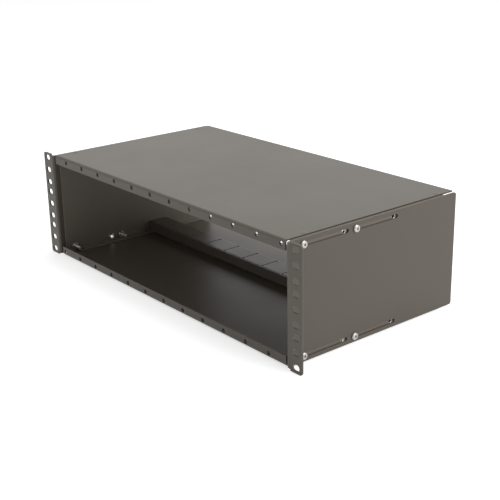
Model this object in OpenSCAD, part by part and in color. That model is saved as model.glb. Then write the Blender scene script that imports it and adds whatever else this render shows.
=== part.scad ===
// Subrack card cage for a 19-inch rack. Two folded side panels carry a top and a bottom cover,
// each with a row of module holes in its front flange. An eared rack plate is screwed to each
// side through long slots, so the cage can sit further forward or back in the rack.
// X runs to the right, Y to the rear, Z up. The origin is the centre of the rack hole pattern,
// on the front face of the ears.

/* [Rack front] */
// Height of the cage in rack units
rack_units = 3; // [2:1:6]
// Overall width across the two ears
ear_span = 482.6; // [480:0.2:486]
// Distance from the end of an ear to its rack holes
hole_edge = 8.75; // [8:0.05:10]
// Width of an ear, from its end to the outer face of its rack plate
ear_w = 20.3; // [19:0.1:24]
// Height of a rack hole
rack_hole_h = 7; // [5:0.1:8]
// End-to-end length of a rack hole
rack_hole_l = 10.3; // [8.5:0.1:12]
// Radius of the outer corners of an ear
ear_corner_r = 3; // [1:0.5:5]
// Gap left between one panel and the next in the rack
rack_gap = 0.85; // [0.5:0.05:1.5]

/* [Rack plates] */
// Depth from the front of the ears to the rear edge of the plates
plate_d = 241; // [200:1:400]
// Sheet thickness of the rack plates
plate_t = 2; // [1.5:0.1:2.5]
// Inside radius of the fold between ear and plate
plate_bend_r = 1; // [0.6:0.1:2]
// How far the top edge of a plate lies below the cover
plate_drop = 1; // [0.5:0.1:2]
// Radius of the rear corners of the plates
plate_corner_r = 2.5; // [1:0.5:8]
// Depth of the relief cut at each end of the fold
relief_d = 2; // [1:0.5:4]
// Distance from the fold to the full height of the ear
ear_step = 3.5; // [3.5:0.1:5]

/* [Slots and side screws] */
// Width of the adjusting slots
slot_w = 4.5; // [4.3:0.1:6]
// End-to-end length of a slot
slot_l = 63; // [40:1:66]
// Distance from the ear face to the front end of the first slot
slot_start = 17.5; // [15:0.5:30]
// Length of sheet left between one slot and the next
slot_bridge = 7; // [5:0.5:20]
// Distance from the front end of a slot to its front nut
front_nut_offset = 3; // [3:0.1:6]
// Distance from the rear end of a slot to its rear nut
rear_nut_offset = 5; // [3:0.1:20]
// Thread diameter of the side screws
screw_d = 4; // [3:0.5:4]
// Length of a side screw under its head
screw_l = 16; // [10:1:20]
// Diameter of a screw head
head_d = 8; // [7:0.1:9]
// Height of a screw head
head_h = 2.6; // [2:0.1:3.2]

/* [Clinch nuts] */
// Diameter of the nut body on the inside of the panel
nut_d = 7.8; // [6.5:0.1:8.5]
// Height of the nut body
nut_h = 2.2; // [1.5:0.1:4]
// Diameter of the nut shank pressed into the panel
nut_shank_d = 5.4; // [5:0.1:6]
// Gap between the nuts and the folds of the side panel, which sets the height of the slots
nut_fold_gap = 0.1; // [0.1:0.1:4]

/* [Side panels] */
// Sheet thickness of the side panels
panel_t = 1.5; // [1:0.1:2]
// Inside radius of the folds of the side panels
panel_bend_r = 0.5; // [0.3:0.1:1.5]
// Distance from the ear face to the front edge of a side panel
panel_front = 8; // [6:0.5:12]
// Distance from the rear edge of the rack plates to the rear edge of the side panels
panel_rear_setback = 16.5; // [10:0.5:40]
// Width of the lips that carry the covers
lip_w = 11; // [10:0.5:15]
// Distance from the end of a lip to its rivet
lip_rivet_margin = 5; // [4:0.5:12]
// Distance from the front edge of the panel to the front end of its lips
lip_setback = 15.5; // [10:0.5:25]

/* [Covers] */
// Height over the outer faces of the two covers, less the height of the ears
cover_drop = 1.5; // [1.5:0.1:4]
// Sheet thickness of the covers
cover_t = 1.5; // [1:0.1:2]
// Inside radius of the front fold of a cover
cover_bend_r = 1.5; // [0.5:0.1:2.5]
// Distance from the ear face back to the front flanges
flange_front = 2; // [0:0.1:4]
// Height of the front flanges over the sheet
flange_h = 11; // [9:0.5:14]
// Gap between the edge of a cover and the rack plate beside it
cover_side_gap = 2.8; // [2:0.1:4]
// Distance from the rear edge of the plates to the rear edge of the top cover
top_rear_setback = 0.5; // [0:0.5:10]
// Distance from the rear edge of the plates to the rear edge of the bottom cover
bottom_rear_setback = 5; // [0:0.5:10]

/* [Module places] */
// Number of module places side by side
module_count = 12; // [6:1:13]
// Distance from the side edge of a cover to the nearest module hole
module_hole_margin = 6; // [5:0.1:12]
// Diameter of the module screw holes
module_hole_d = 5; // [3:0.1:5.5]
// Depth of the module holes below the outer face of the cover
module_hole_inset = 5.1; // [4.5:0.1:7]
// Sideways distance of a module hole from the middle of its place
module_hole_shift = 10; // [0:0.5:14]

/* [Card rails] */
// Distance from the ear face to the front wall of a card rail
rail_front = 135; // [100:1:150]
// Depth of a card rail
rail_d = 30; // [20:1:45]
// Height of a card rail above its cover
rail_h = 14; // [10:0.5:20]
// Sheet thickness of the card rails
rail_t = 1.2; // [0.8:0.1:1.5]
// Inside radius of the folds of a card rail
rail_bend_r = 1; // [0.5:0.1:2]
// Gap between the front wall of a rail and its slit top
rail_mouth = 1.2; // [0.6:0.1:3]
// Width of a card slit
slit_w = 1.3; // [0.8:0.1:2.5]
// Distance from the rear wall of the rail to the end of a slit
slit_stop = 4; // [3:0.5:10]
// Diameter of the relief hole at the end of a slit
slit_hole_d = 2.8; // [1.5:0.1:4]
// Width of a locating nib at the mouth of a slit
nib_w = 2.6; // [1.5:0.1:4]
// Gap between the ends of a rail and the side panels
rail_end_gap = 0.7; // [0.3:0.1:3]

/* [Rivets] */
// Diameter of the rivet shanks
rivet_d = 3.2; // [2.4:0.1:4]
// Diameter of the rivet heads
rivet_head_d = 6.4; // [5:0.1:7]
// Height of the rivet heads
rivet_head_h = 0.7; // [0.4:0.1:0.7]
// Diameter of the upset tails
rivet_tail_d = 4.6; // [4.2:0.1:5.5]
// Height of the upset tails
rivet_tail_h = 3; // [1.5:0.1:3]
// Distance from the rack plate to the rivet line
rivet_inset = 7; // [6:0.1:8]

/* [Hidden] */
$fn = 48;

// Rack standard: one unit, and its three holes measured from the bottom of the unit
unit_h = 44.45;
unit_holes = [6.35, 22.225, 38.1];

// Finishes
coat = [0.36, 0.35, 0.32];
coat_inside = [0.30, 0.29, 0.27];
zinc = [0.78, 0.79, 0.80];

// Small cut that passes clear of a face
eps = 0.01;
cut = 20;

// Heights
ear_h = rack_units * unit_h - rack_gap;
rack_hole_x = ear_span / 2 - hole_edge;
rack_hole_z = [for (u = [0 : rack_units - 1], h = unit_holes) u * unit_h + h - rack_units * unit_h / 2];
cover_z = ear_h / 2 - cover_drop / 2;
lip_z = cover_z - cover_t;
plate_z = cover_z - plate_drop;
slot_z = lip_z - panel_t - panel_bend_r - nut_fold_gap - nut_d / 2;
module_hole_z = cover_z - module_hole_inset;

// Widths
plate_out = ear_span / 2 - ear_w;
plate_in = plate_out - plate_t;
panel_in = plate_in - panel_t;
lip_edge = plate_in - lip_w;
cover_edge = plate_in - cover_side_gap;
rivet_x = plate_in - rivet_inset;
ear_full_x = plate_out + ear_step;

// Depths
slot_pitch = slot_l + slot_bridge;
slot_nut = [front_nut_offset, slot_l - rear_nut_offset];
nut_y = [for (s = [0, 1], n = slot_nut) slot_start + s * slot_pitch + n];
screw_y = [nut_y[0], nut_y[2]];
lip_front = panel_front + lip_setback;
panel_rear = plate_d - panel_rear_setback;
rivet_y = [lip_front + lip_rivet_margin, panel_rear - lip_rivet_margin];

// Module places, whose outermost holes keep their distance from the edges of the covers
module_pitch = 2 * (cover_edge - module_hole_margin - module_hole_shift) / (module_count - 1);
place_x = [for (i = [0 : module_count - 1]) (i - (module_count - 1) / 2) * module_pitch];

// Cross recess of a screw head
recess_l = 0.52 * head_d;
recess_w = 1.1;
recess_depth = 1.5;
crown = 0.55;
thread_clearance = 0.05;
hole_clearance = 0.1;
mandrel_hole_d = 1.6;
mandrel_hole_depth = 0.35;
flange_corner_r = 1;

// Quarter of a round fold, from the +X axis to the +Y axis
module fold(r, t) {
    intersection() {
        difference() {
            circle(r = r + t);
            circle(r = r);
        }
        square(r + t);
    }
}

// Rectangle from the origin with all corners round
module round_rect(w, h, r) {
    translate([r, 0]) square([w - 2 * r, h]);
    translate([0, r]) square([w, h - 2 * r]);
    for (x = [r, w - r], y = [r, h - r]) translate([x, y]) circle(r = r);
}

// Slot with round ends, centred, along the first axis
module obround(l, w) {
    square([l - w, w], center = true);
    for (s = [-1, 1]) translate([s * (l - w) / 2, 0]) circle(d = w);
}

// Turns a flat outline of X and Z into a sheet that fills y0 to y0 + t
module sheet_xz(y0, t) translate([0, y0 + t, 0]) rotate([90, 0, 0]) linear_extrude(t) children();

// Turns a flat outline of Y and Z into a bar that fills x0 to x0 + l
module bar_yz(x0, l) translate([x0, 0, 0]) rotate([90, 0, 90]) linear_extrude(l) children();

// Part on the right or the left, and its top or its bottom
module on_side(side) mirror([side < 0 ? 1 : 0, 0, 0]) children();
module on_level(level) mirror([0, 0, level < 0 ? 1 : 0]) children();

// ---------------------------------------------------------------- rack plates

// Front view of an ear: lower beside the fold, full height past the step
module ear_outline() {
    fold_end = plate_out + plate_bend_r;
    full_w = ear_span / 2 - ear_full_x;
    difference() {
        union() {
            translate([fold_end, -plate_z]) square([ear_full_x - fold_end + ear_corner_r, 2 * plate_z]);
            translate([ear_full_x, -ear_h / 2]) round_rect(full_w, ear_h, ear_corner_r);
            for (s = [-1, 1])
                translate([ear_full_x, s * (ear_h / 2 - ear_corner_r) - ear_corner_r])
                    square([ear_corner_r, 2 * ear_corner_r]);
        }
        for (s = [-1, 1])
            translate([ear_full_x - relief_d, s * plate_z]) circle(r = relief_d);
        for (z = rack_hole_z) translate([rack_hole_x, z]) obround(rack_hole_l, rack_hole_h);
    }
}

// Side view of a rack plate behind the fold, with its four adjusting slots
module rack_plate_outline() {
    start = plate_t + plate_bend_r;
    difference() {
        union() {
            translate([start, -plate_z]) square([plate_d - start - plate_corner_r, 2 * plate_z]);
            translate([plate_d / 2, -plate_z]) round_rect(plate_d / 2, 2 * plate_z, plate_corner_r);
        }
        for (i = [0, 1], s = [-1, 1])
            translate([slot_start + slot_l / 2 + i * slot_pitch, s * slot_z]) obround(slot_l, slot_w);
        for (s = [-1, 1]) translate([start, s * plate_z]) circle(r = relief_d);
    }
}

// One folded sheet: ear, fold and long side plate
module rack_plate() {
    fold_z = plate_z - relief_d;
    sheet_xz(0, plate_t) ear_outline();
    translate([plate_out + plate_bend_r, plate_t + plate_bend_r, -fold_z])
        linear_extrude(2 * fold_z) rotate(180) fold(plate_bend_r, plate_t);
    bar_yz(plate_in, plate_t) rack_plate_outline();
}

module left_rack_plate() color(coat) on_side(-1) rack_plate();
module right_rack_plate() color(coat) on_side(1) rack_plate();

// ---------------------------------------------------------------- side panels

// Front view of a side panel: web, and a lip folded inwards at top and bottom
module panel_profile() {
    outer_r = panel_bend_r + panel_t;
    translate([panel_in, -(lip_z - outer_r)]) square([panel_t, 2 * (lip_z - outer_r)]);
    for (s = [0, 1]) mirror([0, s]) {
        translate([plate_in - outer_r, lip_z - outer_r]) fold(panel_bend_r, panel_t);
        translate([lip_edge, lip_z - panel_t]) square([lip_w - outer_r, panel_t]);
    }
}

// One folded channel, with its lips cut back at the front
module side_panel() {
    web_z = lip_z - panel_bend_r - panel_t;
    difference() {
        union() {
            sheet_xz(lip_front, panel_rear - lip_front) panel_profile();
            bar_yz(panel_in, panel_t)
                translate([panel_front, -web_z]) square([lip_front - panel_front, 2 * web_z]);
        }
        for (y = nut_y, s = [-1, 1])
            translate([panel_in - eps, y, s * slot_z])
                rotate([0, 90, 0]) cylinder(d = nut_shank_d, h = panel_t + 2 * eps);
        for (y = rivet_y, s = [-1, 1])
            translate([rivet_x, y, s * (lip_z - panel_t / 2)])
                cylinder(d = rivet_d + hole_clearance, h = panel_t + 2 * eps, center = true);
    }
}

module left_side_panel() color(coat_inside) on_side(-1) side_panel();
module right_side_panel() color(coat_inside) on_side(1) side_panel();

// ---------------------------------------------------------------- covers

// Side view of a cover: long flat sheet, round front fold and short front flange
module cover_profile(rear) {
    outer_r = cover_bend_r + cover_t;
    translate([flange_front + outer_r, lip_z]) square([rear - flange_front - outer_r, cover_t]);
    translate([flange_front + outer_r, cover_z - outer_r]) rotate(90) fold(cover_bend_r, cover_t);
    translate([flange_front, cover_z - flange_h]) square([cover_t, flange_h - outer_r]);
}

// A cover with one module hole for each place and four rivet holes.
// hole_side says which way the module holes are shifted.
module cover(rear, hole_side) {
    difference() {
        bar_yz(-cover_edge, 2 * cover_edge) cover_profile(rear);
        for (x = place_x)
            translate([x + hole_side * module_hole_shift, flange_front - eps, module_hole_z])
                rotate([-90, 0, 0]) cylinder(d = module_hole_d, h = cover_t + 2 * eps);
        for (s = [-1, 1], y = rivet_y)
            translate([s * rivet_x, y, lip_z - eps])
                cylinder(d = rivet_d + hole_clearance, h = cover_t + 2 * eps);
        for (s = [-1, 1])
            translate([s * cover_edge, 0, cover_z - flange_h]) flange_corner_cut();
    }
}

// Rounds the free corners of the front flange
module flange_corner_cut() {
    r = flange_corner_r;
    sheet_xz(flange_front - eps, cover_t + 2 * eps)
        difference() {
            square(2 * r, center = true);
            for (s = [-1, 1]) translate([s * r, r]) circle(r = r);
        }
}

module top_cover() color(coat) cover(plate_d - top_rear_setback, 1);
module bottom_cover() color(coat) on_level(-1) cover(plate_d - bottom_rear_setback, -1);

// ---------------------------------------------------------------- card rails

// Side view of a card rail that stands on its cover: front wall, base, rear wall and a top
// that comes forward again and stops just short of the front wall. Z is measured from the base.
module rail_profile() {
    outer_r = rail_bend_r + rail_t;
    translate([0, outer_r]) square([rail_t, rail_h - outer_r]);
    translate([outer_r, outer_r]) rotate(180) fold(rail_bend_r, rail_t);
    translate([outer_r, 0]) square([rail_d - 2 * outer_r, rail_t]);
    translate([rail_d - outer_r, outer_r]) rotate(-90) fold(rail_bend_r, rail_t);
    translate([rail_d - rail_t, outer_r]) square([rail_t, rail_h - 2 * outer_r]);
    translate([rail_d - outer_r, rail_h - outer_r]) fold(rail_bend_r, rail_t);
    translate([rail_t + rail_mouth, rail_h - rail_t])
        square([rail_d - outer_r - rail_t - rail_mouth, rail_t]);
}

// Top view of the cut that parts two fingers: mouth notch, slit and round relief
module slit_outline() {
    slit_end = rail_d - slit_stop;
    mouth_w = nib_w + rail_mouth;
    translate([-slit_w / 2, rail_t]) square([slit_w, slit_end - rail_t]);
    translate([-mouth_w / 2, rail_t]) square([mouth_w, 2 * rail_mouth]);
    translate([0, slit_end]) circle(d = slit_hole_d);
}

// One folded sheet with its ends cut away over the lips of the side panels
module card_rail() {
    rail_x = panel_in - rail_end_gap;
    lip_clear = lip_edge - rail_end_gap;
    translate([0, rail_front, -lip_z]) {
        difference() {
            bar_yz(-rail_x, 2 * rail_x) rail_profile();
            for (x = place_x)
                translate([x, 0, rail_h - rail_t - eps]) linear_extrude(rail_t + 2 * eps) slit_outline();
            for (s = [-1, 1])
                translate([s * (lip_clear + cut / 2), rail_d / 2, 0])
                    cube([cut, rail_d + 2 * eps, 2 * (panel_t + rail_end_gap)], center = true);
            for (s = [-1, 1], y = rivet_y) rivet_room(s, y);
            for (s = [-1, 1], y = nut_y) nut_room(s, y);
        }
        for (x = place_x)
            translate([x - nib_w / 2, rail_t, rail_h - rail_t]) cube([nib_w, rail_mouth, rail_t]);
    }
}

module lower_card_rail() color(coat_inside) card_rail();
module upper_card_rail() color(coat_inside) on_level(-1) card_rail();

// ---------------------------------------------------------------- side screws and clinch nuts

// Pan-head screw along +X from the inside to its head, with the underside of the head at x = 0
module side_screw() {
    rotate([0, 90, 0]) difference() {
        union() {
            translate([0, 0, -screw_l]) cylinder(d = screw_d, h = screw_l + eps);
            rotate_extrude() pan_head_profile();
        }
        for (a = [0, 90])
            rotate(a + 45) translate([0, 0, head_h - recess_depth / 2 + eps])
                cube([recess_l, recess_w, recess_depth], center = true);
    }
}

// Half section of a pan head: straight rim, round shoulder and a flat crown
module pan_head_profile() {
    shoulder_r = crown * head_h;
    square([head_d / 2, head_h - shoulder_r]);
    square([head_d / 2 - shoulder_r, head_h]);
    translate([head_d / 2 - shoulder_r, head_h - shoulder_r]) intersection() {
        circle(r = shoulder_r);
        square(shoulder_r);
    }
}

module placed_screw(side, level, i)
    color(zinc) on_side(side) translate([plate_out, screw_y[i], level * slot_z]) side_screw();

module screw_left_top_front() placed_screw(-1, 1, 0);
module screw_left_top_rear() placed_screw(-1, 1, 1);
module screw_left_bottom_front() placed_screw(-1, -1, 0);
module screw_left_bottom_rear() placed_screw(-1, -1, 1);
module screw_right_top_front() placed_screw(1, 1, 0);
module screw_right_top_rear() placed_screw(1, 1, 1);
module screw_right_bottom_front() placed_screw(1, -1, 0);
module screw_right_bottom_rear() placed_screw(1, -1, 1);

// Clinch nut: shank pressed into the panel, body on the inside, thread right through
module clinch_nut() {
    rotate([0, 90, 0]) difference() {
        union() {
            cylinder(d = nut_shank_d, h = panel_t);
            translate([0, 0, -nut_h]) cylinder(d = nut_d, h = nut_h);
        }
        translate([0, 0, -nut_h - eps])
            cylinder(d = screw_d + 2 * thread_clearance, h = nut_h + panel_t + 2 * eps);
    }
}

module placed_nut(side, level, i)
    color(zinc) on_side(side) translate([panel_in, nut_y[i], level * slot_z]) clinch_nut();

module nut_left_top_1() placed_nut(-1, 1, 0);
module nut_left_top_2() placed_nut(-1, 1, 1);
module nut_left_top_3() placed_nut(-1, 1, 2);
module nut_left_top_4() placed_nut(-1, 1, 3);
module nut_left_bottom_1() placed_nut(-1, -1, 0);
module nut_left_bottom_2() placed_nut(-1, -1, 1);
module nut_left_bottom_3() placed_nut(-1, -1, 2);
module nut_left_bottom_4() placed_nut(-1, -1, 3);
module nut_right_top_1() placed_nut(1, 1, 0);
module nut_right_top_2() placed_nut(1, 1, 1);
module nut_right_top_3() placed_nut(1, 1, 2);
module nut_right_top_4() placed_nut(1, 1, 3);
module nut_right_bottom_1() placed_nut(1, -1, 0);
module nut_right_bottom_2() placed_nut(1, -1, 1);
module nut_right_bottom_3() placed_nut(1, -1, 2);
module nut_right_bottom_4() placed_nut(1, -1, 3);

// Room that a rail leaves round a nut beside it, seen from the rail's own base
module nut_room(side, y)
    on_side(side) translate([panel_in - nut_h - rail_end_gap, y - rail_front, lip_z - slot_z])
        rotate([0, 90, 0]) cylinder(d = nut_d + 2 * rail_end_gap, h = cut);

// ---------------------------------------------------------------- rivets

// Blind rivet through a cover and a lip: low domed head outside, upset tail inside.
// The underside of its head is at z = 0.
module rivet() {
    grip = cover_t + panel_t;
    dome_r = (rivet_head_d * rivet_head_d / 4 + rivet_head_h * rivet_head_h) / (2 * rivet_head_h);
    difference() {
        union() {
            rotate_extrude() intersection() {
                translate([0, rivet_head_h - dome_r]) circle(r = dome_r, $fn = 360);
                square([rivet_head_d / 2, rivet_head_h]);
            }
            translate([0, 0, -grip]) cylinder(d = rivet_d, h = grip + eps);
            translate([0, 0, -grip - rivet_tail_h]) cylinder(d = rivet_tail_d, h = rivet_tail_h);
        }
        translate([0, 0, rivet_head_h - mandrel_hole_depth])
            cylinder(d = mandrel_hole_d, h = mandrel_hole_depth + eps);
    }
}

// Room that a rail leaves round a rivet tail beside it, seen from the rail's own base
module rivet_room(side, y)
    translate([side * rivet_x, y - rail_front, 0])
        cylinder(
            d = rivet_tail_d + 2 * rail_end_gap,
            h = 2 * (panel_t + rivet_tail_h + rail_end_gap),
            center = true
        );

module placed_rivet(side, level, i)
    color(coat) on_level(level) translate([side * rivet_x, rivet_y[i], cover_z]) rivet();

module rivet_left_top_front() placed_rivet(-1, 1, 0);
module rivet_left_top_rear() placed_rivet(-1, 1, 1);
module rivet_left_bottom_front() placed_rivet(-1, -1, 0);
module rivet_left_bottom_rear() placed_rivet(-1, -1, 1);
module rivet_right_top_front() placed_rivet(1, 1, 0);
module rivet_right_top_rear() placed_rivet(1, 1, 1);
module rivet_right_bottom_front() placed_rivet(1, -1, 0);
module rivet_right_bottom_rear() placed_rivet(1, -1, 1);

top_cover();
bottom_cover();
left_side_panel();
right_side_panel();
left_rack_plate();
right_rack_plate();
lower_card_rail();
upper_card_rail();
screw_left_top_front();
screw_left_top_rear();
screw_left_bottom_front();
screw_left_bottom_rear();
screw_right_top_front();
screw_right_top_rear();
screw_right_bottom_front();
screw_right_bottom_rear();
nut_left_top_1();
nut_left_top_2();
nut_left_top_3();
nut_left_top_4();
nut_left_bottom_1();
nut_left_bottom_2();
nut_left_bottom_3();
nut_left_bottom_4();
nut_right_top_1();
nut_right_top_2();
nut_right_top_3();
nut_right_top_4();
nut_right_bottom_1();
nut_right_bottom_2();
nut_right_bottom_3();
nut_right_bottom_4();
rivet_left_top_front();
rivet_left_top_rear();
rivet_left_bottom_front();
rivet_left_bottom_rear();
rivet_right_top_front();
rivet_right_top_rear();
rivet_right_bottom_front();
rivet_right_bottom_rear();
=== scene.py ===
import math

import bmesh
import bpy
from mathutils import Matrix, Vector


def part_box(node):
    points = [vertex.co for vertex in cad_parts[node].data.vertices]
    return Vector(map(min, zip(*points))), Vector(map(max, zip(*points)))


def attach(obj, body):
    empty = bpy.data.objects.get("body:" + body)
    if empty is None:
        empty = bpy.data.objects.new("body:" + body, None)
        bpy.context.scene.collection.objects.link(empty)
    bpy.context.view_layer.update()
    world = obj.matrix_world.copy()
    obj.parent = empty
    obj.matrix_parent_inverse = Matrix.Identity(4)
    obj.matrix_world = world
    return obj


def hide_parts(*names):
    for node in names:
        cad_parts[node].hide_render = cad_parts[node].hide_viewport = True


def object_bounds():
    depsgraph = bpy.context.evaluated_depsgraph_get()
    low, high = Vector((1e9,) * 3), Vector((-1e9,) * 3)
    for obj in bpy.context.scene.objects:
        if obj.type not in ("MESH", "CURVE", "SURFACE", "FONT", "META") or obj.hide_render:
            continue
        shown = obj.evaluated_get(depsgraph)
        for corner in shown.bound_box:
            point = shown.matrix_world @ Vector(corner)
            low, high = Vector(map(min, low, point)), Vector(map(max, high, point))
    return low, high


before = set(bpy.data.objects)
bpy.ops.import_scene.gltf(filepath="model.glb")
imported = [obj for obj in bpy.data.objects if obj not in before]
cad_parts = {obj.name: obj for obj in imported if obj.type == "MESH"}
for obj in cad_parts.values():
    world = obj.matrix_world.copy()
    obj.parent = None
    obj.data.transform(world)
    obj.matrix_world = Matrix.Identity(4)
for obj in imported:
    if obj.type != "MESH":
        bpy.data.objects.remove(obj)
cad_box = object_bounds()

# ------------------------------------------------------------------ camera and studio
# The cage stands on a pale floor in a soft white studio. The camera looks down on its right
# front corner from about a metre away.
scene = bpy.context.scene
scene.view_settings.view_transform = "Standard"

view_degrees = (50.894, 19.753, -1.104)
camera_place = (0.89188, -0.58984, 0.37845)
lens_mm = 73.39
sensor_mm = 36.0
nearest, farthest = 0.05, 40.0

azimuth, elevation, roll = (math.radians(a) for a in view_degrees)
look = Vector((
    -math.sin(azimuth) * math.cos(elevation),
    math.cos(azimuth) * math.cos(elevation),
    -math.sin(elevation),
))
level_right = Vector((math.cos(azimuth), math.sin(azimuth), 0.0))
level_up = level_right.cross(look)
camera_right = level_right * math.cos(roll) + level_up * math.sin(roll)
camera_up = level_up * math.cos(roll) - level_right * math.sin(roll)

camera = bpy.data.objects.new("camera", bpy.data.cameras.new("camera"))
camera.data.lens = lens_mm
camera.data.sensor_width = sensor_mm
camera.data.clip_start, camera.data.clip_end = nearest, farthest
camera.matrix_world = Matrix.Translation(camera_place) @ Matrix(
    (camera_right, camera_up, -look)
).transposed().to_4x4()
scene.collection.objects.link(camera)
scene.camera = camera


def add_node(tree, kind, inputs=None, **settings):
    """A node with its settings made and its inputs set or linked."""
    made = tree.nodes.new(kind)
    for key, value in settings.items():
        setattr(made, key, value)
    for key, value in (inputs or {}).items():
        if isinstance(value, bpy.types.NodeSocket):
            tree.links.new(value, made.inputs[key])
        else:
            made.inputs[key].default_value = value
    return made


def seen_directly(tree):
    """1 for a ray from the camera or from a mirror or glass surface, and 0 for soft light."""
    path = add_node(tree, "ShaderNodeLightPath")
    some = add_node(tree, "ShaderNodeMath", {
        0: path.outputs["Is Camera Ray"], 1: path.outputs["Is Glossy Ray"],
    }, operation="MAXIMUM")
    return add_node(tree, "ShaderNodeMath", {
        0: some.outputs[0], 1: path.outputs["Is Transmission Ray"],
    }, operation="MAXIMUM").outputs[0]


ambient_level = 0.42
studio_white = 1.0
white = (1.0, 1.0, 1.0, 1.0)
world = bpy.data.worlds.new("studio")
scene.world = world
world.use_nodes = True
tree = world.node_tree
tree.nodes.clear()
level = add_node(tree, "ShaderNodeMapRange", {
    "Value": seen_directly(tree), "To Min": ambient_level, "To Max": studio_white,
})
backdrop = add_node(tree, "ShaderNodeBackground", {
    "Color": white, "Strength": level.outputs[0],
})
add_node(tree, "ShaderNodeOutputWorld", {"Surface": backdrop.outputs[0]})

floor_size = 12.0
floor_gap = 0.0002
floor_grey = 0.80
floor_lift = 0.60
floor_mesh = bpy.data.meshes.new("floor")
floor_z = cad_box[0].z - floor_gap
half = floor_size / 2
floor_mesh.from_pydata(
    [(x, y, floor_z) for x, y in ((-half, -half), (half, -half), (half, half), (-half, half))],
    [], [(0, 1, 2, 3)],
)
floor = bpy.data.objects.new("floor", floor_mesh)
scene.collection.objects.link(floor)
floor_paint = bpy.data.materials.new("floor_paint")
floor_paint.use_nodes = True
tree = floor_paint.node_tree
tree.nodes.clear()
paint = add_node(tree, "ShaderNodeBsdfDiffuse", {"Color": (floor_grey, floor_grey, floor_grey, 1.0)})
lift = add_node(tree, "ShaderNodeMapRange", {
    "Value": seen_directly(tree), "To Min": 0.0, "To Max": floor_lift,
})
glow = add_node(tree, "ShaderNodeEmission", {
    "Color": white, "Strength": lift.outputs[0],
})
both = add_node(tree, "ShaderNodeAddShader", {0: paint.outputs[0], 1: glow.outputs[0]})
add_node(tree, "ShaderNodeOutputMaterial", {"Surface": both.outputs[0]})
floor_mesh.materials.append(floor_paint)


def softbox(name, place, target, size, power):
    """A square area lamp that faces its target."""
    lamp = bpy.data.lights.new(name, "AREA")
    lamp.shape, lamp.size, lamp.energy = "SQUARE", size, power
    made = bpy.data.objects.new(name, lamp)
    aim = (Vector(target) - Vector(place)).to_track_quat("-Z", "Y")
    made.matrix_world = Matrix.Translation(place) @ aim.to_matrix().to_4x4()
    scene.collection.objects.link(made)


lamp_target = (0.0, 0.1, 0.0)
softbox("key_softbox", (1.9, 0.7, 1.5), lamp_target, size=1.4, power=31.0)
softbox("top_softbox", (-0.3, 0.6, 2.2), lamp_target, size=1.6, power=18.0)

# ------------------------------------------------------------------ side panels
# Two folded steel channels stand between the covers. They are powder-coated in a satin warm dark
# grey before assembly, like every other sheet of the cage. Their coat here is painted about twice as
# light as the covers', as painted light on the shaded inner walls.


def powder_coat(name, tone, roughness):
    """Satin powder coat: fine orange peel, slight drift of tone and gloss, and edges painted
    lighter, partly as wear and partly as painted highlight.
    """
    coat = bpy.data.materials.new(name)
    coat.use_nodes = True
    tree = coat.node_tree
    tree.nodes.clear()
    tone_drift, gloss_drift, worn_and_highlight_gain = 0.06, 0.03, 1.45
    place = add_node(tree, "ShaderNodeTexCoord").outputs["Object"]
    drift = add_node(tree, "ShaderNodeTexNoise", {
        "Vector": place, "Scale": 11.0, "Detail": 4.0, "Roughness": 0.6,
    }).outputs["Fac"]
    speck = add_node(tree, "ShaderNodeTexNoise", {
        "Vector": place, "Scale": 900.0, "Detail": 2.0, "Roughness": 0.5,
    }).outputs["Fac"]
    peel = add_node(tree, "ShaderNodeTexNoise", {
        "Vector": place, "Scale": 420.0, "Detail": 2.0, "Roughness": 0.4,
    }).outputs["Fac"]
    rounded = add_node(tree, "ShaderNodeBevel", {"Radius": 0.0005}, samples=6)
    flat = add_node(tree, "ShaderNodeNewGeometry").outputs["True Normal"]
    facing = add_node(tree, "ShaderNodeVectorMath", {
        0: rounded.outputs[0], 1: flat,
    }, operation="DOT_PRODUCT").outputs["Value"]
    # Edge mask from the rounded normals: the colour is painted lighter there, partly as wear and
    # partly as painted highlight where the edges catch light.
    edge = add_node(tree, "ShaderNodeMapRange", {
        "Value": facing, "From Min": 0.97, "From Max": 0.80, "To Min": 0.0, "To Max": 1.0,
    }).outputs[0]
    # Inputs 6 and 7 and output 2 of a Mix node are its colours.
    dark_tone, light_tone, worn_and_highlight_tone = (
        tuple(min(1.0, c * gain) for c in tone) + (1.0,)
        for gain in (1.0 - tone_drift, 1.0 + tone_drift, worn_and_highlight_gain)
    )
    ground = add_node(tree, "ShaderNodeMix", {
        "Factor": drift, 6: dark_tone, 7: light_tone,
    }, data_type="RGBA")
    colour = add_node(tree, "ShaderNodeMix", {
        "Factor": edge, 6: ground.outputs[2], 7: worn_and_highlight_tone,
    }, data_type="RGBA")
    gloss = add_node(tree, "ShaderNodeMapRange", {
        "Value": drift, "From Min": 0.3, "From Max": 0.7,
        "To Min": roughness - gloss_drift, "To Max": roughness + gloss_drift,
    })
    grain = add_node(tree, "ShaderNodeBump", {
        "Height": peel, "Distance": 0.00002, "Strength": 0.35, "Normal": rounded.outputs[0],
    })
    fine = add_node(tree, "ShaderNodeBump", {
        "Height": speck, "Distance": 0.000006, "Strength": 0.3, "Normal": grain.outputs[0],
    })
    skin = add_node(tree, "ShaderNodeBsdfPrincipled", {
        "Base Color": colour.outputs[2], "Roughness": gloss.outputs[0], "Normal": fine.outputs[0],
        "Metallic": 0.0, "IOR": 1.5, "Specular IOR Level": 0.38,
    })
    add_node(tree, "ShaderNodeOutputMaterial", {"Surface": skin.outputs[0]})
    return coat


def finish_nodes(coat, *names):
    """Gives CAD pieces their finish."""
    for name in names:
        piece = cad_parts[name]
        for slot in piece.material_slots:
            slot.material = coat


inside_coat = powder_coat("powder_coat_inside", tone=(0.092, 0.079, 0.062), roughness=0.34)
# Painted light: the panels' copy of the coat is made lighter to stand in for light falling on the
# shaded inner walls.
panel_coat_painted_light = powder_coat(
    "powder_coat_side_panels_painted_light", tone=(0.175, 0.153, 0.125), roughness=0.40
)


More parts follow.
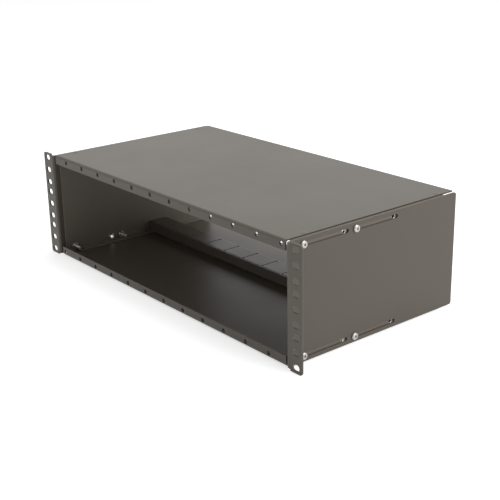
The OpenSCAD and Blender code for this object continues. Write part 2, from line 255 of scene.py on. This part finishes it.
def formed_sheet(name, node, coat, reshape):
    """A CAD sheet as one merged mesh, reshaped where the real sheet differs in small detail."""
    copy = bmesh.new()
    copy.from_mesh(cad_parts[node].data)
    bmesh.ops.remove_doubles(copy, verts=copy.verts, dist=1e-6)
    reshape(copy)
    bmesh.ops.dissolve_degenerate(copy, edges=copy.edges, dist=1e-7)
    mesh = bpy.data.meshes.new(name)
    copy.to_mesh(mesh)
    copy.free()
    # The stored normals belong to the separate faces. New ones follow, led by the flat faces.
    if "custom_normal" in mesh.attributes:
        mesh.attributes.remove(mesh.attributes["custom_normal"])
    mesh.materials.clear()
    mesh.materials.append(coat)
    for face in mesh.polygons:
        face.material_index = 0
    mesh.shade_smooth()
    mesh.set_sharp_from_angle(angle=math.radians(30.0))
    made = bpy.data.objects.new(name, mesh)
    scene.collection.objects.link(made)
    weighted = made.modifiers.new("flat_faces_lead", "WEIGHTED_NORMAL")
    weighted.weight = 100
    weighted.keep_sharp = True
    shaded = made.evaluated_get(bpy.context.evaluated_depsgraph_get())
    made.data = bpy.data.meshes.new_from_object(shaded)
    made.modifiers.clear()
    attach(made, "root")
    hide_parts(node)


panel_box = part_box("right_side_panel")
panel_sheet = 0.0015
panel_fold_r = 0.0005
front_lip_width = 0.0033
front_lip_end = 0.0235
fold_steps = 8


def add_front_lips(side):
    """Narrow lips in front of the wide ones, which close the gap beside the cover's fold."""
    outer_r = panel_fold_r + panel_sheet
    centre_x, centre_z = panel_box[1].x - outer_r, panel_box[1].z - outer_r
    turns = [math.pi / 2 * i / fold_steps for i in range(fold_steps + 1)]
    section = [
        (centre_x + outer_r * math.cos(a), centre_z + outer_r * math.sin(a)) for a in turns
    ]
    section += [
        (panel_box[1].x - front_lip_width, panel_box[1].z),
        (panel_box[1].x - front_lip_width, panel_box[1].z - panel_sheet),
    ]
    section += [
        (centre_x + panel_fold_r * math.cos(a), centre_z + panel_fold_r * math.sin(a))
        for a in reversed(turns)
    ]

    def reshape(copy):
        """Adds the upper and the lower lip to the panel's mesh."""
        for level in (-1, 1):
            ends = [
                [copy.verts.new((side * x, y, level * z)) for x, z in section]
                for y in (panel_box[0].y, front_lip_end)
            ]
            faces = [copy.faces.new(ends[0]), copy.faces.new(ends[1][::-1])]
            for i in range(len(section)):
                j = (i + 1) % len(section)
                faces.append(copy.faces.new((ends[0][j], ends[0][i], ends[1][i], ends[1][j])))
            bmesh.ops.recalc_face_normals(copy, faces=faces)

    return reshape


for side, panel in ((-1, "left_side_panel"), (1, "right_side_panel")):
    formed_sheet(panel + "_sheet", panel, panel_coat_painted_light, add_front_lips(side))

# ------------------------------------------------------------------ clinch nuts
# Sixteen zinc-plated M4 nuts are pressed into the side panels, four along each edge. Half of
# them take the side screws, and the others show through the rear ends of the slots.


def zinc_plate(name, tone, roughness):
    """Bright zinc plate: cloudy tone and gloss, and fine scratches."""
    plate = bpy.data.materials.new(name)
    plate.use_nodes = True
    tree = plate.node_tree
    tree.nodes.clear()
    dark_share, gloss_drift = 0.86, 0.06
    place = add_node(tree, "ShaderNodeTexCoord").outputs["Object"]
    cloud = add_node(tree, "ShaderNodeTexNoise", {
        "Vector": place, "Scale": 260.0, "Detail": 3.0, "Roughness": 0.55,
    }).outputs["Fac"]
    scratch = add_node(tree, "ShaderNodeTexNoise", {
        "Vector": place, "Scale": 2400.0, "Detail": 2.0, "Roughness": 0.6,
    }).outputs["Fac"]
    colour = add_node(tree, "ShaderNodeMix", {
        "Factor": cloud,
        6: tuple(c * dark_share for c in tone) + (1.0,), 7: tuple(tone) + (1.0,),
    }, data_type="RGBA")
    gloss = add_node(tree, "ShaderNodeMapRange", {
        "Value": cloud, "From Min": 0.3, "From Max": 0.7,
        "To Min": roughness - gloss_drift, "To Max": roughness + gloss_drift,
    })
    grain = add_node(tree, "ShaderNodeBump", {
        "Height": scratch, "Distance": 0.000004, "Strength": 0.3,
    })
    skin = add_node(tree, "ShaderNodeBsdfPrincipled", {
        "Base Color": colour.outputs[2], "Roughness": gloss.outputs[0], "Normal": grain.outputs[0],
        "Metallic": 1.0,
    })
    add_node(tree, "ShaderNodeOutputMaterial", {"Surface": skin.outputs[0]})
    return plate


def new_tree(name, sizes):
    """A geometry tree with a named input for each size. Returns the tree and its input sockets."""
    tree = bpy.data.node_groups.new(name, "GeometryNodeTree")
    tree.interface.new_socket("Geometry", in_out="OUTPUT", socket_type="NodeSocketGeometry")
    for label, value in sizes.items():
        kind = "NodeSocketInt" if isinstance(value, int) else "NodeSocketFloat"
        tree.interface.new_socket(label, in_out="INPUT", socket_type=kind)
    entry = add_node(tree, "NodeGroupInput")
    return tree, {label: entry.outputs[label] for label in sizes}


def calc(tree, operation, *values):
    """One arithmetic step between sockets or numbers."""
    return add_node(
        tree, "ShaderNodeMath", dict(enumerate(values)), operation=operation
    ).outputs[0]


def pick(tree, index, values):
    """The value whose place in the list is the index."""
    switch = add_node(tree, "GeometryNodeIndexSwitch", {"Index": index}, data_type="FLOAT")
    while len(switch.index_switch_items) < len(values):
        switch.index_switch_items.new()
    for i, value in enumerate(values):
        if isinstance(value, bpy.types.NodeSocket):
            tree.links.new(value, switch.inputs[i + 1])
        else:
            switch.inputs[i + 1].default_value = value
    return switch.outputs[0]


def lathe(tree, profile, segments):
    """A turned solid about Z. The profile is a list of (radius, height) from bottom to top."""
    rows = len(profile)
    sheet = add_node(tree, "GeometryNodeMeshGrid", {
        "Size X": 1.0, "Size Y": 1.0, "Vertices X": segments + 1, "Vertices Y": rows,
    })
    place = add_node(tree, "ShaderNodeSeparateXYZ", {
        0: add_node(tree, "GeometryNodeInputPosition").outputs[0],
    })
    turn = calc(tree, "MULTIPLY", calc(tree, "ADD", place.outputs["X"], 0.5), math.tau)
    row = calc(tree, "ROUND", calc(
        tree, "MULTIPLY", calc(tree, "ADD", place.outputs["Y"], 0.5), float(rows - 1)
    ))
    radius = pick(tree, row, [p[0] for p in profile])
    height = pick(tree, row, [p[1] for p in profile])
    point = add_node(tree, "ShaderNodeCombineXYZ", {
        "X": calc(tree, "MULTIPLY", radius, calc(tree, "COSINE", turn)),
        "Y": calc(tree, "MULTIPLY", radius, calc(tree, "SINE", turn)),
        "Z": height,
    })
    turned = add_node(tree, "GeometryNodeSetPosition", {
        "Geometry": sheet.outputs["Mesh"], "Position": point.outputs[0],
    })
    return add_node(tree, "GeometryNodeMergeByDistance", {
        "Geometry": turned.outputs[0], "Distance": 1e-6,
    }).outputs[0]


def sign(tree, index, step):
    """-1 or 1 in turn, changing after every so many places."""
    block = calc(tree, "FLOOR", calc(tree, "DIVIDE", index, float(step)))
    return calc(tree, "SUBTRACT", calc(tree, "MULTIPLY", calc(
        tree, "FLOORED_MODULO", block, 2.0
    ), 2.0), 1.0)


def corner_of(tree):
    """For each point its side and its level, -1 or 1, and which set of four corners it is in."""
    index = add_node(tree, "GeometryNodeInputIndex").outputs[0]
    foursome = calc(tree, "FLOOR", calc(tree, "DIVIDE", index, 4.0))
    return sign(tree, index, 1), sign(tree, index, 2), foursome


def mirrored(tree, side, across, along, level, height):
    """The place at this distance to its side, along the cage, and up or down."""
    return add_node(tree, "ShaderNodeCombineXYZ", {
        "X": calc(tree, "MULTIPLY", side, across),
        "Y": along,
        "Z": calc(tree, "MULTIPLY", level, height),
    }).outputs[0]


def at_places(tree, solid, count, position, rotation, plate):
    """Copies of the solid at a number of places, made real and given their finish."""
    points = add_node(tree, "GeometryNodePoints", {"Count": count, "Position": position})
    copies = add_node(tree, "GeometryNodeInstanceOnPoints", {
        "Points": points.outputs[0], "Instance": solid, "Rotation": rotation,
    })
    real = add_node(tree, "GeometryNodeRealizeInstances", {"Geometry": copies.outputs[0]})
    done = add_node(tree, "GeometryNodeSetMaterial", {
        "Geometry": real.outputs[0], "Material": plate,
    })
    add_node(tree, "NodeGroupOutput", {0: done.outputs[0]})


def grown(name, tree, sizes, sharp_angle=35.0):
    """Runs a tree with these sizes once and keeps its result as a plain mesh object."""
    seed = bpy.data.objects.new(name + "_seed", bpy.data.meshes.new(name + "_seed"))
    scene.collection.objects.link(seed)
    modifier = seed.modifiers.new(name, "NODES")
    modifier.node_group = tree
    for item in tree.interface.items_tree:
        if item.in_out == "INPUT":
            modifier[item.identifier] = sizes[item.name]
    evaluated = seed.evaluated_get(bpy.context.evaluated_depsgraph_get())
    mesh = bpy.data.meshes.new_from_object(evaluated)
    seed.modifiers.clear()
    bpy.data.objects.remove(seed)
    mesh.name = name
    mesh.shade_smooth()
    mesh.set_sharp_from_angle(angle=math.radians(sharp_angle))
    made = bpy.data.objects.new(name, mesh)
    scene.collection.objects.link(made)
    return made


def names_of(kind, places):
    """The CAD names of one kind of piece, at each side, level and place."""
    return [
        f"{kind}_{side}_{level}_{place}"
        for side in ("left", "right") for level in ("top", "bottom") for place in places
    ]


def middle(box, axis):
    """Where the middle of a box lies along an axis, which is 0, 1 or 2."""
    return (box[0][axis] + box[1][axis]) / 2


zinc = zinc_plate("zinc_plate", tone=(0.50, 0.49, 0.46), roughness=0.34)
nut_names = names_of("nut", (1, 2, 3, 4))
nut_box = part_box("nut_right_top_1")
nut_ys = [middle(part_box(f"nut_right_top_{i}"), 1) for i in (1, 2, 3)]
nut_sizes = {
    "Count": len(nut_names),
    "Panel face": nut_box[1].x,
    "Panel sheet": panel_sheet,
    "Line height": middle(nut_box, 2),
    "First row": nut_ys[0],
    "Row spacing": nut_ys[1] - nut_ys[0],
    "Slot spacing": nut_ys[2] - nut_ys[0],
    "Body diameter": nut_box[1].z - nut_box[0].z,
    "Body height": 0.0022,
    "Shank diameter": 0.0054,
    "Bore diameter": 0.0041,
    "Chamfer": 0.00035,
}
tree, size = new_tree("clinch_nuts", nut_sizes)
body_r = calc(tree, "DIVIDE", size["Body diameter"], 2.0)
shank_r = calc(tree, "DIVIDE", size["Shank diameter"], 2.0)
bore_r = calc(tree, "DIVIDE", size["Bore diameter"], 2.0)
chamfer = size["Chamfer"]
bottom = calc(tree, "MULTIPLY", calc(tree, "ADD", size["Body height"], size["Panel sheet"]), -1.0)
shelf = calc(tree, "MULTIPLY", size["Panel sheet"], -1.0)
bore_rim = calc(tree, "ADD", bore_r, chamfer)
nut = lathe(tree, [
    (bore_r, calc(tree, "ADD", bottom, chamfer)),
    (bore_rim, bottom),
    (calc(tree, "SUBTRACT", body_r, chamfer), bottom),
    (body_r, calc(tree, "ADD", bottom, chamfer)),
    (body_r, shelf),
    (shank_r, shelf),
    (shank_r, 0.0),
    (bore_rim, 0.0),
    (bore_r, calc(tree, "MULTIPLY", chamfer, -1.0)),
    (bore_r, calc(tree, "ADD", bottom, chamfer)),
], segments=40)
side, level, foursome = corner_of(tree)
row = calc(tree, "FLOORED_MODULO", foursome, 2.0)
slot_row = calc(tree, "FLOOR", calc(tree, "DIVIDE", foursome, 2.0))
along = calc(tree, "ADD", calc(tree, "ADD", size["First row"], calc(
    tree, "MULTIPLY", row, size["Row spacing"]
)), calc(tree, "MULTIPLY", slot_row, size["Slot spacing"]))
place = mirrored(tree, side, size["Panel face"], along, level, size["Line height"])
turn = add_node(tree, "ShaderNodeCombineXYZ", {
    "Y": calc(tree, "MULTIPLY", side, math.pi / 2),
}).outputs[0]
at_places(tree, nut, size["Count"], place, turn, zinc)
nuts = grown("clinch_nuts", tree, nut_sizes)
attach(nuts, "root")
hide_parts(*nut_names)

# ------------------------------------------------------------------ card rails
# Two folded box sections carry the cards. Each has a slit top with a relief hole at the end of
# every slit, and is spot-welded to its cover.
finish_nodes(inside_coat, "lower_card_rail", "upper_card_rail")

# ------------------------------------------------------------------ covers
# The top and bottom sheets are folded at the front into a short flange with a row of holes for
# the module screws.
outside_coat = powder_coat("powder_coat_outside", tone=(0.093, 0.079, 0.061), roughness=0.38)
finish_nodes(outside_coat, "top_cover", "bottom_cover")

# ------------------------------------------------------------------ rivets
# Blind rivets with low domed heads hold each cover to the lips of the side panels. They were coated
# with the sheets, and the stub of the steel mandrel shows in each head. Their coat is painted
# lighter than the covers', as a painted highlight on the domed heads.
rivet_names = names_of("rivet", ("front", "rear"))
rivet_head_h = 0.0007
rivet_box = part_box("rivet_right_top_front")
rear_rivet_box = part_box("rivet_right_top_rear")
rivet_sizes = {
    "Count": len(rivet_names),
    "Column": middle(rivet_box, 0),
    "Cover height": rivet_box[1].z - rivet_head_h,
    "First row": middle(rivet_box, 1),
    "Row spacing": rear_rivet_box[0].y - rivet_box[0].y,
    "Head diameter": rivet_box[1].x - rivet_box[0].x,
    "Head height": rivet_head_h,
    "Shank diameter": 0.0032,
    "Grip": 0.003,
    "Tail diameter": 0.0046,
    "Tail height": 0.003,
    "Mandrel hole diameter": 0.0016,
}
tree, size = new_tree("blind_rivets", rivet_sizes)
head_r = calc(tree, "DIVIDE", size["Head diameter"], 2.0)
shank_r = calc(tree, "DIVIDE", size["Shank diameter"], 2.0)
tail_r = calc(tree, "DIVIDE", size["Tail diameter"], 2.0)
hole_r = calc(tree, "DIVIDE", size["Mandrel hole diameter"], 2.0)
grip = calc(tree, "MULTIPLY", size["Grip"], -1.0)
tail_shape = ((0.0, -1.0), (0.80, -1.0), (1.0, -0.75), (1.0, -0.12), (0.92, 0.0))
head_edge = ((0.985, 0.0), (1.0, 0.16))
head_crown = tuple((out, 1.0 - 0.84 * out ** 2.6) for out in (0.93, 0.83, 0.71, 0.56, 0.40))
mandrel_hole = ((1.15, 1.0), (1.0, 0.9), (1.0, 0.5), (0.0, 0.42))


def rings(tree, radius, base, height, shares):
    """Profile points from shares of a radius, and of a height above the base."""
    return [
        (
            calc(tree, "MULTIPLY", radius, out),
            calc(tree, "ADD", base, calc(tree, "MULTIPLY", height, up)),
        )
        for out, up in shares
    ]


profile = rings(tree, tail_r, grip, size["Tail height"], tail_shape)
profile += [(shank_r, grip), (shank_r, 0.0)]
profile += rings(tree, head_r, 0.0, size["Head height"], head_edge + head_crown)
profile += rings(tree, hole_r, 0.0, size["Head height"], mandrel_hole)
rivet = lathe(tree, profile, segments=40)
side, level, row = corner_of(tree)
along = calc(tree, "ADD", size["First row"], calc(tree, "MULTIPLY", row, size["Row spacing"]))
place = mirrored(tree, side, size["Column"], along, level, size["Cover height"])
turn = add_node(tree, "ShaderNodeCombineXYZ", {
    "X": calc(tree, "MULTIPLY", calc(tree, "SUBTRACT", 1.0, level), math.pi / 2),
}).outputs[0]
# Painted highlight: the rivets' copy of the coat is made lighter than the covers' to stand in for
# the highlight on their domed heads.
rivet_coat_painted_highlight = powder_coat("powder_coat_rivets_painted_highlight", tone=(0.125, 0.113, 0.095), roughness=0.30)
at_places(tree, rivet, size["Count"], place, turn, rivet_coat_painted_highlight)
rivets = grown("blind_rivets", tree, rivet_sizes)
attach(rivets, "root")
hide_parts(*rivet_names)

# ------------------------------------------------------------------ rack plates
# Each rack plate is one sheet folded into an ear with rack holes and a long side plate. Its
# slots let the ears be set further forward or back.
plate_top = 0.0645
fold_end = 0.0624
ear_step_x = 0.22451
fold_depth = 0.0051


def close_fold_ends(copy):
    """Runs the fold up to the plate's edge, where the sheet has only a hairline relief."""
    for corner in copy.verts:
        beside_fold = abs(corner.co.x) < ear_step_x and corner.co.y < fold_depth
        if beside_fold and fold_end < abs(corner.co.z) < plate_top:
            corner.co.z = math.copysign(plate_top, corner.co.z)


for rack_plate in ("left_rack_plate", "right_rack_plate"):
    formed_sheet(rack_plate + "_sheet", rack_plate, outside_coat, close_fold_ends)

# ------------------------------------------------------------------ side screws
# Eight zinc-plated M4 pan-head screws with a cross recess clamp the rack plates through the
# slots. Their tips stand clear of the nuts inside the cage.
screw_names = names_of("screw", ("front", "rear"))
screw_head_h = 0.0026
screw_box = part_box("screw_right_top_front")
rear_screw_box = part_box("screw_right_top_rear")
screw_sizes = {
    "Count": len(screw_names),
    "Plate face": screw_box[1].x - screw_head_h,
    "Line height": middle(screw_box, 2),
    "First row": middle(screw_box, 1),
    "Row spacing": rear_screw_box[0].y - screw_box[0].y,
    "Head diameter": screw_box[1].z - screw_box[0].z,
    "Head height": screw_head_h,
    "Thread diameter": 0.004,
    "Thread pitch": 0.0007,
    "Length": 0.016,
    "Recess width": 0.0011,
    "Recess length": 0.0044,
    "Recess depth": 0.0017,
    "Seed": 7,
}
tree, size = new_tree("side_screws", screw_sizes)
head_r = calc(tree, "DIVIDE", size["Head diameter"], 2.0)
thread_r = calc(tree, "DIVIDE", size["Thread diameter"], 2.0)
core_share = 0.82
core_r = calc(tree, "MULTIPLY", thread_r, core_share)
tip = calc(tree, "MULTIPLY", size["Length"], -1.0)
point_length = 0.0004
point_shape = ((0.0, 0.0), (0.78, 0.0), (1.0, 1.0))
pan_head = (
    (0.97, 0.0), (1.0, 0.06), (1.0, 0.38), (0.985, 0.52), (0.95, 0.65), (0.90, 0.76),
    (0.83, 0.86), (0.73, 0.935), (0.60, 0.98), (0.45, 1.0), (0.0, 1.0),
)
profile = rings(tree, core_r, tip, point_length, point_shape)
profile.append((core_r, 0.0))
profile += rings(tree, head_r, 0.0, size["Head height"], pan_head)
blank = lathe(tree, profile, segments=48)

# Cross recess: two crossed blades that narrow towards the bottom
end_taper, side_taper = 0.55, 0.25
blades = []
for turn in (0.0, math.pi / 2):
    block = add_node(tree, "GeometryNodeMeshCube", {
        "Size": add_node(tree, "ShaderNodeCombineXYZ", {
            "X": size["Recess length"], "Y": size["Recess width"],
            "Z": calc(tree, "MULTIPLY", size["Recess depth"], 2.0),
        }).outputs[0],
    })
    corner = add_node(tree, "ShaderNodeSeparateXYZ", {
        0: add_node(tree, "GeometryNodeInputPosition").outputs[0],
    })
    low = calc(tree, "LESS_THAN", corner.outputs["Z"], 0.0)
    narrow = add_node(tree, "ShaderNodeCombineXYZ", {
        "X": calc(tree, "MULTIPLY", corner.outputs["X"], calc(
            tree, "SUBTRACT", 1.0, calc(tree, "MULTIPLY", low, end_taper)
        )),
        "Y": calc(tree, "MULTIPLY", corner.outputs["Y"], calc(
            tree, "SUBTRACT", 1.0, calc(tree, "MULTIPLY", low, side_taper)
        )),
        "Z": calc(tree, "ADD", corner.outputs["Z"], size["Head height"]),
    })
    shaped = add_node(tree, "GeometryNodeSetPosition", {
        "Geometry": block.outputs["Mesh"], "Position": narrow.outputs[0],
    })
    blades.append(add_node(tree, "GeometryNodeTransform", {
        "Geometry": shaped.outputs[0], "Rotation": (0.0, 0.0, turn),
    }).outputs[0])
cutter = add_node(tree, "GeometryNodeMeshBoolean", operation="UNION", solver="EXACT")
for blade in blades:
    tree.links.new(blade, cutter.inputs["Mesh 2"])
recessed = add_node(tree, "GeometryNodeMeshBoolean", {
    "Mesh 1": blank, "Mesh 2": cutter.outputs["Mesh"],
}, operation="DIFFERENCE", solver="EXACT")

# Thread: a triangular ridge wound round the core from the tip to just under the head
thread_start, thread_ends = 0.0005, 0.0012
run = calc(tree, "SUBTRACT", size["Length"], thread_ends)
coil = add_node(tree, "GeometryNodeCurveSpiral", {
    "Resolution": 24, "Rotations": calc(tree, "DIVIDE", run, size["Thread pitch"]),
    "Start Radius": core_r, "End Radius": core_r, "Height": run,
})
ridge = add_node(tree, "GeometryNodeCurvePrimitiveCircle", {
    "Resolution": 3, "Radius": calc(tree, "SUBTRACT", thread_r, core_r),
}, mode="RADIUS")
wound = add_node(tree, "GeometryNodeCurveToMesh", {
    "Curve": coil.outputs["Curve"], "Profile Curve": ridge.outputs["Curve"], "Fill Caps": True,
})
thread = add_node(tree, "GeometryNodeTransform", {
    "Geometry": wound.outputs[0],
    "Translation": add_node(tree, "ShaderNodeCombineXYZ", {
        "Z": calc(tree, "ADD", tip, thread_start),
    }).outputs[0],
})
whole = add_node(tree, "GeometryNodeJoinGeometry")
tree.links.new(recessed.outputs["Mesh"], whole.inputs[0])
tree.links.new(thread.outputs[0], whole.inputs[0])
spin = add_node(tree, "FunctionNodeRandomValue", {
    "Seed": size["Seed"], 2: 0.0, 3: math.tau,
}, data_type="FLOAT")
side, level, row = corner_of(tree)
along = calc(tree, "ADD", size["First row"], calc(tree, "MULTIPLY", row, size["Row spacing"]))
place = mirrored(tree, side, size["Plate face"], along, level, size["Line height"])
turned = add_node(tree, "FunctionNodeRotateEuler", {
    "Rotation": add_node(tree, "ShaderNodeCombineXYZ", {"Z": spin.outputs[1]}).outputs[0],
    "Rotate By": add_node(tree, "ShaderNodeCombineXYZ", {
        "Y": calc(tree, "MULTIPLY", side, math.pi / 2),
    }).outputs[0],
}, space="OBJECT").outputs[0]
at_places(tree, whole.outputs[0], size["Count"], place, turned, zinc)
screws = grown("side_screws", tree, screw_sizes)
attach(screws, "root")
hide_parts(*screw_names)
